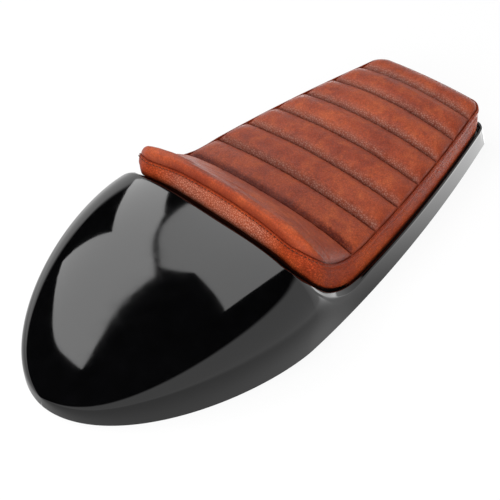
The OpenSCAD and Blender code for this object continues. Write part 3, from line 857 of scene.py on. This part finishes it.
LEATHER_DARK = (0.225, 0.034, 0.014)
LEATHER_MID = (0.315, 0.054, 0.02)
LEATHER_LIGHT = (0.41, 0.08, 0.026)
LEATHER_CREST_TONE = (0.5, 0.125, 0.045)
# Painted shade for the channels, seams and creases, beside the first channel and in the band's rear corners
LEATHER_CREASE_SHADE = (0.085, 0.011, 0.006)
# Painted sheen on the slopes before the channels and on the rear of the lip band
LEATHER_SHEEN = (0.31, 0.155, 0.13)
# Painted shade for the gap between the cover's turned-in edge and the rim
LEATHER_GAP_SHADE = (0.004, 0.003, 0.003)


def leather_material(name, grain, gloss, tint):
    material, nodes, links = node_material(name)
    bsdf = nodes["Principled BSDF"]
    coords = nodes.new("ShaderNodeTexCoord").outputs["Object"]
    clouds = texture(nodes, links, "ShaderNodeTexNoise", coords, scale=26, detail=5, roughness=0.62)
    patches = texture(nodes, links, "ShaderNodeTexNoise", coords, scale=75, detail=4, roughness=0.6)
    specks = texture(nodes, links, "ShaderNodeTexNoise", coords, scale=420, detail=3, roughness=0.6)
    cells = texture(nodes, links, "ShaderNodeTexVoronoi", coords, scale=470, randomness=1.0)
    cells.feature = "DISTANCE_TO_EDGE"
    fine = texture(nodes, links, "ShaderNodeTexNoise", coords, scale=2300, detail=2)
    crease_shade, crest = attribute(nodes, "crease_shade"), attribute(nodes, "crest")
    tone = maths(nodes, links, "ADD", maths(nodes, links, "MULTIPLY", clouds.outputs[0], 0.7),
                 maths(nodes, links, "MULTIPLY", patches.outputs[0], 0.3))
    colour = ramp(nodes, links, tone, ((0.34, LEATHER_DARK), (0.48, LEATHER_MID), (0.64, LEATHER_LIGHT)))
    # Roll tops and the lower band are mixed in patches towards a lighter orange
    crest_tone = maths(nodes, links, "MULTIPLY", ramp(nodes, links, patches.outputs[0], ((0.5, grey(0)), (0.7, grey(0.5)))), crest)
    colour = mixed(nodes, links, crest_tone, colour, LEATHER_CREST_TONE)
    shade = ramp(nodes, links, specks.outputs[0], ((0.38, grey(0.78)), (0.62, grey(1.0))))
    colour = mixed(nodes, links, 1.0, colour, shade, "MULTIPLY")
    pits = ramp(nodes, links, cells.outputs["Distance"], ((0.03, grey(0.32)), (0.26, grey(1.0))))
    colour = mixed(nodes, links, grain, colour, pits, "MULTIPLY")
    # Painted sheen makes the slopes before the channels paler, and painted shade darkens the grain beside the first
    # channel and in the rear corners of the band
    sheen_on_grain = maths(nodes, links, "MULTIPLY", attribute(nodes, "sheen"),
                 ramp(nodes, links, cells.outputs["Distance"], ((0.03, grey(0.1)), (0.25, grey(1.0)))))
    colour = mixed(nodes, links, sheen_on_grain, colour, LEATHER_SHEEN)
    shade_in_grain = maths(nodes, links, "MULTIPLY", attribute(nodes, "channel_and_corner_shade"),
                 ramp(nodes, links, cells.outputs["Distance"], ((0.02, grey(1.0)), (0.3, grey(0.45)))))
    colour = mixed(nodes, links, shade_in_grain, colour, LEATHER_CREASE_SHADE)
    # Painted shade in the channels, seams and creases
    colour = mixed(nodes, links, maths(nodes, links, "MULTIPLY", crease_shade, 0.85), colour, LEATHER_CREASE_SHADE)
    colour = mixed(nodes, links, 1.0, colour, tint, "MULTIPLY")
    # Painted shade: the turned-in edge of the cover, down in the gap beside the rim, is painted near black
    colour = mixed(nodes, links, attribute(nodes, "under"), colour, LEATHER_GAP_SHADE)
    links.new(colour, bsdf.inputs["Base Color"])
    rough = ramp(nodes, links, patches.outputs[0], ((0.35, grey(0.36)), (0.65, grey(0.5))))
    links.new(rough, bsdf.inputs["Roughness"])
    bsdf.inputs["Specular IOR Level"].default_value = gloss
    pebble = ramp(nodes, links, cells.outputs["Distance"], ((0.0, grey(0)), (0.22, grey(1))))
    bump(nodes, links, ((pebble, grain, 0.0003), (fine.outputs[0], 0.35, 0.00012), (specks.outputs[0], 0.5, 0.0003)), bsdf)
    return material


def gloss_material():
    material, nodes, links = node_material("gloss_black")
    bsdf = nodes["Principled BSDF"]
    coords = nodes.new("ShaderNodeTexCoord").outputs["Object"]
    flow = texture(nodes, links, "ShaderNodeTexNoise", coords, scale=14, detail=2)
    haze = texture(nodes, links, "ShaderNodeTexNoise", coords, scale=60, detail=5, roughness=0.65)
    links.new(ramp(nodes, links, haze.outputs[0], ((0.3, (0.0007, 0.0007, 0.0008)), (0.7, (0.0013, 0.0013, 0.0015)))),
              bsdf.inputs["Base Color"])
    links.new(ramp(nodes, links, haze.outputs[0], ((0.35, grey(0.045)), (0.75, grey(0.085)))), bsdf.inputs["Roughness"])
    bsdf.inputs["IOR"].default_value = 1.5
    bump(nodes, links, ((flow.outputs[0], 0.25, 0.0006),), bsdf)
    return material


def inside_material():
    """Bare moulding under the shell, with the weave of the mat showing through."""
    material, nodes, links = node_material("bare_moulding")
    bsdf = nodes["Principled BSDF"]
    coords = nodes.new("ShaderNodeTexCoord").outputs["Object"]
    strands = texture(nodes, links, "ShaderNodeTexNoise", coords, scale=160, detail=6, roughness=0.7, distortion=1.5)
    blotches = texture(nodes, links, "ShaderNodeTexNoise", coords, scale=22, detail=4)
    links.new(ramp(nodes, links, strands.outputs[0], ((0.35, (0.012, 0.012, 0.013)), (0.65, (0.038, 0.038, 0.04)))),
              bsdf.inputs["Base Color"])
    links.new(ramp(nodes, links, blotches.outputs[0], ((0.35, grey(0.42)), (0.65, grey(0.68)))), bsdf.inputs["Roughness"])
    bump(nodes, links, ((strands.outputs[0], 0.6, 0.0006),), bsdf)
    return material


def pan_material():
    material, nodes, links = node_material("moulded_plastic")
    bsdf = nodes["Principled BSDF"]
    coords = nodes.new("ShaderNodeTexCoord").outputs["Object"]
    grain = texture(nodes, links, "ShaderNodeTexNoise", coords, scale=1500, detail=3)
    stain = texture(nodes, links, "ShaderNodeTexNoise", coords, scale=30, detail=4)
    links.new(ramp(nodes, links, stain.outputs[0], ((0.3, (0.011, 0.011, 0.012)), (0.7, (0.021, 0.021, 0.022)))),
              bsdf.inputs["Base Color"])
    links.new(ramp(nodes, links, grain.outputs[0], ((0.3, grey(0.5)), (0.7, grey(0.66)))), bsdf.inputs["Roughness"])
    bump(nodes, links, ((grain.outputs[0], 0.5, 0.0001),), bsdf)
    return material


def foam_material():
    material, nodes, links = node_material("open_cell_foam")
    bsdf = nodes["Principled BSDF"]
    coords = nodes.new("ShaderNodeTexCoord").outputs["Object"]
    cells = texture(nodes, links, "ShaderNodeTexVoronoi", coords, scale=1400, randomness=1.0)
    stain = texture(nodes, links, "ShaderNodeTexNoise", coords, scale=40, detail=3)
    links.new(ramp(nodes, links, stain.outputs[0], ((0.3, (0.6, 0.53, 0.38)), (0.7, (0.72, 0.66, 0.5)))), bsdf.inputs["Base Color"])
    bsdf.inputs["Roughness"].default_value = 0.95
    bump(nodes, links, ((cells.outputs["Distance"], 0.8, 0.0003),), bsdf)
    return material


def steel_material():
    material, nodes, links = node_material("plated_steel")
    bsdf = nodes["Principled BSDF"]
    coords = nodes.new("ShaderNodeTexCoord").outputs["Object"]
    brushed = texture(nodes, links, "ShaderNodeTexNoise", coords, scale=900, detail=3, roughness=0.6)
    stain = texture(nodes, links, "ShaderNodeTexNoise", coords, scale=120, detail=4)
    links.new(ramp(nodes, links, stain.outputs[0], ((0.35, (0.5, 0.5, 0.5)), (0.65, (0.68, 0.68, 0.67)))), bsdf.inputs["Base Color"])
    links.new(ramp(nodes, links, brushed.outputs[0], ((0.3, grey(0.22)), (0.7, grey(0.4)))), bsdf.inputs["Roughness"])
    bsdf.inputs["Metallic"].default_value = 1.0
    bump(nodes, links, ((brushed.outputs[0], 0.2, 0.00004),), bsdf)
    return material


def thread_material():
    material, nodes, links = node_material("waxed_thread")
    bsdf = nodes["Principled BSDF"]
    coords = nodes.new("ShaderNodeTexCoord").outputs["Object"]
    twist = texture(nodes, links, "ShaderNodeTexWave", coords, scale=900, distortion=1.0)
    links.new(ramp(nodes, links, twist.outputs["Fac"], ((0.2, (0.035, 0.008, 0.004)), (0.8, (0.085, 0.02, 0.01)))),
              bsdf.inputs["Base Color"])
    bsdf.inputs["Roughness"].default_value = 0.6
    bump(nodes, links, ((twist.outputs["Fac"], 0.6, 0.0001),), bsdf)
    return material


def place_piece(obj, material, slot, *nodes):
    obj.data.materials.clear()
    obj.data.materials.append(material)
    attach(obj, "root")
    if nodes:
        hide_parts(*nodes)
    return obj


def inside_faces(mesh):
    """The faces of the shell that are seen from below only."""
    for face in mesh.polygons:
        centre, way = face.center / MM, face.normal
        half = float(edge_half(centre.x))
        outwards = Vector((0 if centre.x > TAIL_X + 60 else centre.x - (TAIL_X + 60), centre.y, centre.z * 2))
        lower = way.z < -0.2 and abs(centre.z) > 0.01
        turned_in = way.dot(outwards) < -0.02 * outwards.length and abs(way.z) < 0.9 and centre.z < CREST_HEIGHT
        under_tray = centre.z < TRAY_HEIGHT - 0.2 and abs(centre.y) < half - 1.0
        face.material_index = 1 if (lower or (turned_in and (centre.x < CREST_X - 1 or under_tray))) else 0


shell = place_piece(build_shell(), gloss_material(), "shell", "cowl_shell")
shell.data.materials.append(inside_material())
inside_faces(shell.data)

stations, columns = station_list(), column_list()
top_panel = place_piece(build_top(stations, columns), leather_material("leather_top", 0.4, 0.2, (1.06, 0.98, 0.85)), "leather_top", "cover_top_panel")
band = place_piece(build_band(stations, columns), leather_material("leather_band", 0.65, 0.06, (1.2, 1.0, 0.8)), "leather_band", "cover_side_band")
foam = place_piece(build_foam(), foam_material(), "foam", "foam_pad")
stitches = place_piece(build_stitches(), thread_material(), "leather_band")

steel, pan_plastic = steel_material(), pan_material()
for name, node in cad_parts.items():
    if name.startswith(("mount_nut", "screw", "washer")):
        node.data.materials.clear()
        node.data.materials.append(steel)
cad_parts["seat_pan"].data.materials.clear()
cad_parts["seat_pan"].data.materials.append(pan_plastic)


# Camera, matched to the photograph
AZIMUTH, ELEVATION = math.radians(-47.47), math.radians(43.84)
TARGET = Vector((-35.3, -1.3, 32.0)) * MM
DISTANCE = 884.0 * MM
FOCAL_PIXELS = 968.17
IMAGE_PIXELS = 500.0
CENTRE_PIXELS = (239.56, 229.76)
SENSOR = 36.0


def build_camera():
    back = Vector((math.sin(AZIMUTH) * math.cos(ELEVATION), -math.cos(AZIMUTH) * math.cos(ELEVATION), math.sin(ELEVATION)))
    data = bpy.data.cameras.new("camera")
    camera = bpy.data.objects.new("camera", data)
    bpy.context.scene.collection.objects.link(camera)
    camera.location = TARGET + back * DISTANCE
    camera.rotation_euler = (-back).to_track_quat("-Z", "Y").to_euler()
    data.sensor_width = SENSOR
    data.lens = FOCAL_PIXELS / IMAGE_PIXELS * SENSOR
    data.shift_x = (IMAGE_PIXELS / 2 - CENTRE_PIXELS[0]) / IMAGE_PIXELS
    data.shift_y = (CENTRE_PIXELS[1] - IMAGE_PIXELS / 2) / IMAGE_PIXELS
    data.clip_start = 0.01
    bpy.context.scene.camera = camera


# Two soft panels over the far side of the seat, as outlines in metres
FAR_PANEL = ((0.6, 1.34, 0.45), (0.59, 0.9, 0.92), (0.38, 0.78, 1.05), (-0.06, 0.68, 1.18), (-0.97, 0.75, 1.14),
             (-0.91, 0.82, 1.06), (-0.6, 1.01, 0.85), (-0.26, 1.25, 0.58), (0.03, 0.9, 0.94))
TOP_PANEL = ((0.7, 0.755, 0.93), (0.77, -0.115, 1.24), (0.67, -0.11, 1.29), (-0.04, -0.09, 1.53), (0.13, 0.56, 1.2),
             (0.02, 0.69, 1.18), (0.3, 0.74, 1.07), (0.58, 0.75, 0.97))
FAR_STRENGTH = 4.0
TOP_STRENGTH = 2.8


def build_panel(name, corners, strength):
    mesh = bpy.data.meshes.new(name)
    mesh.from_pydata(list(corners), [], [tuple(range(len(corners)))])
    obj = bpy.data.objects.new(name, mesh)
    bpy.context.scene.collection.objects.link(obj)
    obj.visible_camera = False
    obj.visible_shadow = False
    material, nodes, links = node_material(name)
    nodes.remove(nodes["Principled BSDF"])
    glow = nodes.new("ShaderNodeEmission")
    glow.inputs["Strength"].default_value = strength
    links.new(glow.outputs[0], nodes["Material Output"].inputs["Surface"])
    mesh.materials.append(material)


def build_lamp(name, place, aim, size, power):
    data = bpy.data.lights.new(name, "AREA")
    data.shape = "DISK"
    data.size = size
    data.energy = power
    lamp = bpy.data.objects.new(name, data)
    bpy.context.scene.collection.objects.link(lamp)
    lamp.location = place
    lamp.rotation_euler = (Vector(aim) - Vector(place)).to_track_quat("-Z", "Y").to_euler()
    lamp.visible_glossy = False
    return lamp


FLOOR_RADIUS = 6.0
SHADOW_REACH = 0.75
SHADOW_SHARE = 0.14
SWEEP_TAIL, SWEEP_NOSE, SWEEP_FAR = 0.62, 4.2, 1.1


def build_floor():
    """A white sweep. It shows white to the camera and in gloss, and keeps a faint shadow near the seat."""
    bpy.ops.mesh.primitive_circle_add(vertices=96, radius=FLOOR_RADIUS, fill_type="TRIFAN", location=(0, 0, -0.0002))
    floor = bpy.context.object
    floor.name = "floor"
    material, nodes, links = node_material("floor_white")
    bsdf = nodes["Principled BSDF"]
    bsdf.inputs["Base Color"].default_value = (0.9, 0.9, 0.9, 1)
    bsdf.inputs["Roughness"].default_value = 1.0
    bsdf.inputs["Specular IOR Level"].default_value = 0.0
    coords = nodes.new("ShaderNodeTexCoord").outputs["Object"]
    length = nodes.new("ShaderNodeVectorMath")
    length.operation = "LENGTH"
    links.new(coords, length.inputs[0])
    reach = nodes.new("ShaderNodeMapRange")
    reach.interpolation_type = "SMOOTHSTEP"
    links.new(length.outputs["Value"], reach.inputs["Value"])
    for key, value in (("From Min", 0.3), ("From Max", SHADOW_REACH), ("To Min", 1 - SHADOW_SHARE), ("To Max", 1.0)):
        reach.inputs[key].default_value = value
    path = nodes.new("ShaderNodeLightPath")
    seen = maths(nodes, links, "MAXIMUM", path.outputs["Is Camera Ray"],
                 maths(nodes, links, "MAXIMUM", path.outputs["Is Glossy Ray"], path.outputs["Is Transmission Ray"]))
    # The sweep is lit more brightly near the nose, which only gloss shows
    split = nodes.new("ShaderNodeSeparateXYZ")
    links.new(coords, split.inputs[0])
    bright = nodes.new("ShaderNodeMapRange")
    bright.interpolation_type = "SMOOTHSTEP"
    links.new(split.outputs["X"], bright.inputs["Value"])
    for key, value in (("From Min", -0.04), ("From Max", 0.3), ("To Min", SWEEP_TAIL), ("To Max", SWEEP_NOSE)):
        bright.inputs[key].default_value = value
    far = nodes.new("ShaderNodeMapRange")
    far.interpolation_type = "SMOOTHSTEP"
    links.new(length.outputs["Value"], far.inputs["Value"])
    for key, value in (("From Min", 0.34), ("From Max", 0.52), ("To Min", 0.0), ("To Max", 1.0)):
        far.inputs[key].default_value = value
    level = nodes.new("ShaderNodeMix")
    level.data_type = "FLOAT"
    level.inputs["B"].default_value = SWEEP_FAR
    aside = nodes.new("ShaderNodeMapRange")
    aside.interpolation_type = "SMOOTHSTEP"
    links.new(maths(nodes, links, "ABSOLUTE", split.outputs["Y"], 0.0), aside.inputs["Value"])
    for key, value in (("From Min", 0.17), ("From Max", 0.26), ("To Min", 0.0), ("To Max", 1.0)):
        aside.inputs[key].default_value = value
    links.new(maths(nodes, links, "MAXIMUM", far.outputs["Result"], aside.outputs["Result"]), level.inputs["Factor"])
    links.new(bright.outputs["Result"], level.inputs["A"])
    glow = nodes.new("ShaderNodeEmission")
    strength = nodes.new("ShaderNodeMix")
    strength.data_type = "FLOAT"
    strength.inputs["B"].default_value = 1.0
    links.new(path.outputs["Is Camera Ray"], strength.inputs["Factor"])
    links.new(level.outputs[0], strength.inputs["A"])
    links.new(strength.outputs[0], glow.inputs["Strength"])
    blend = nodes.new("ShaderNodeMixShader")
    links.new(maths(nodes, links, "MULTIPLY", seen, reach.outputs["Result"]), blend.inputs[0])
    links.new(bsdf.outputs[0], blend.inputs[1])
    links.new(glow.outputs[0], blend.inputs[2])
    links.new(blend.outputs[0], nodes["Material Output"].inputs["Surface"])
    floor.data.materials.append(material)


FILL_STRENGTH = 0.42
DARK_STRENGTH = 0.004


def build_world():
    """White behind the seat, and a dark studio above the horizon in what the gloss reflects."""
    world = bpy.data.worlds.new("world")
    bpy.context.scene.world = world
    world.use_nodes = True
    nodes, links = world.node_tree.nodes, world.node_tree.links
    background = nodes["Background"]
    background.inputs["Color"].default_value = (1, 1, 1, 1)
    split = nodes.new("ShaderNodeSeparateXYZ")
    links.new(nodes.new("ShaderNodeTexCoord").outputs["Generated"], split.inputs[0])
    # The lit sweep rises highest on the right, and the dark studio begins above it
    tilt = maths(nodes, links, "ADD", split.outputs["Z"],
                 maths(nodes, links, "MULTIPLY", maths(nodes, links, "SUBTRACT", split.outputs["Y"], split.outputs["X"]), 0.36))
    reach = nodes.new("ShaderNodeMapRange")
    reach.interpolation_type = "SMOOTHSTEP"
    links.new(tilt, reach.inputs["Value"])
    for key, value in (("From Min", 0.42), ("From Max", 0.54), ("To Min", SWEEP_FAR), ("To Max", DARK_STRENGTH)):
        reach.inputs[key].default_value = value
    path = nodes.new("ShaderNodeLightPath")
    shiny = maths(nodes, links, "MAXIMUM", path.outputs["Is Glossy Ray"], path.outputs["Is Transmission Ray"])
    strength = maths(nodes, links, "ADD", path.outputs["Is Camera Ray"],
                     maths(nodes, links, "ADD", maths(nodes, links, "MULTIPLY", shiny, reach.outputs["Result"]),
                           maths(nodes, links, "MULTIPLY", path.outputs["Is Diffuse Ray"], FILL_STRENGTH)))
    links.new(strength, background.inputs["Strength"])


build_camera()
build_panel("far_panel", FAR_PANEL, FAR_STRENGTH)
build_panel("top_panel_light", TOP_PANEL, TOP_STRENGTH)
build_lamp("tail_fill", (-1.2, 0.1, 0.4), (0.0, 0.0, 0.06), 0.7, 9.0)
build_lamp("front_fill", (-1.1, -0.8, 0.6), (0.0, 0.0, 0.04), 1.0, 15.0)
build_floor()
build_world()
bpy.context.scene.view_settings.view_transform = "Standard"
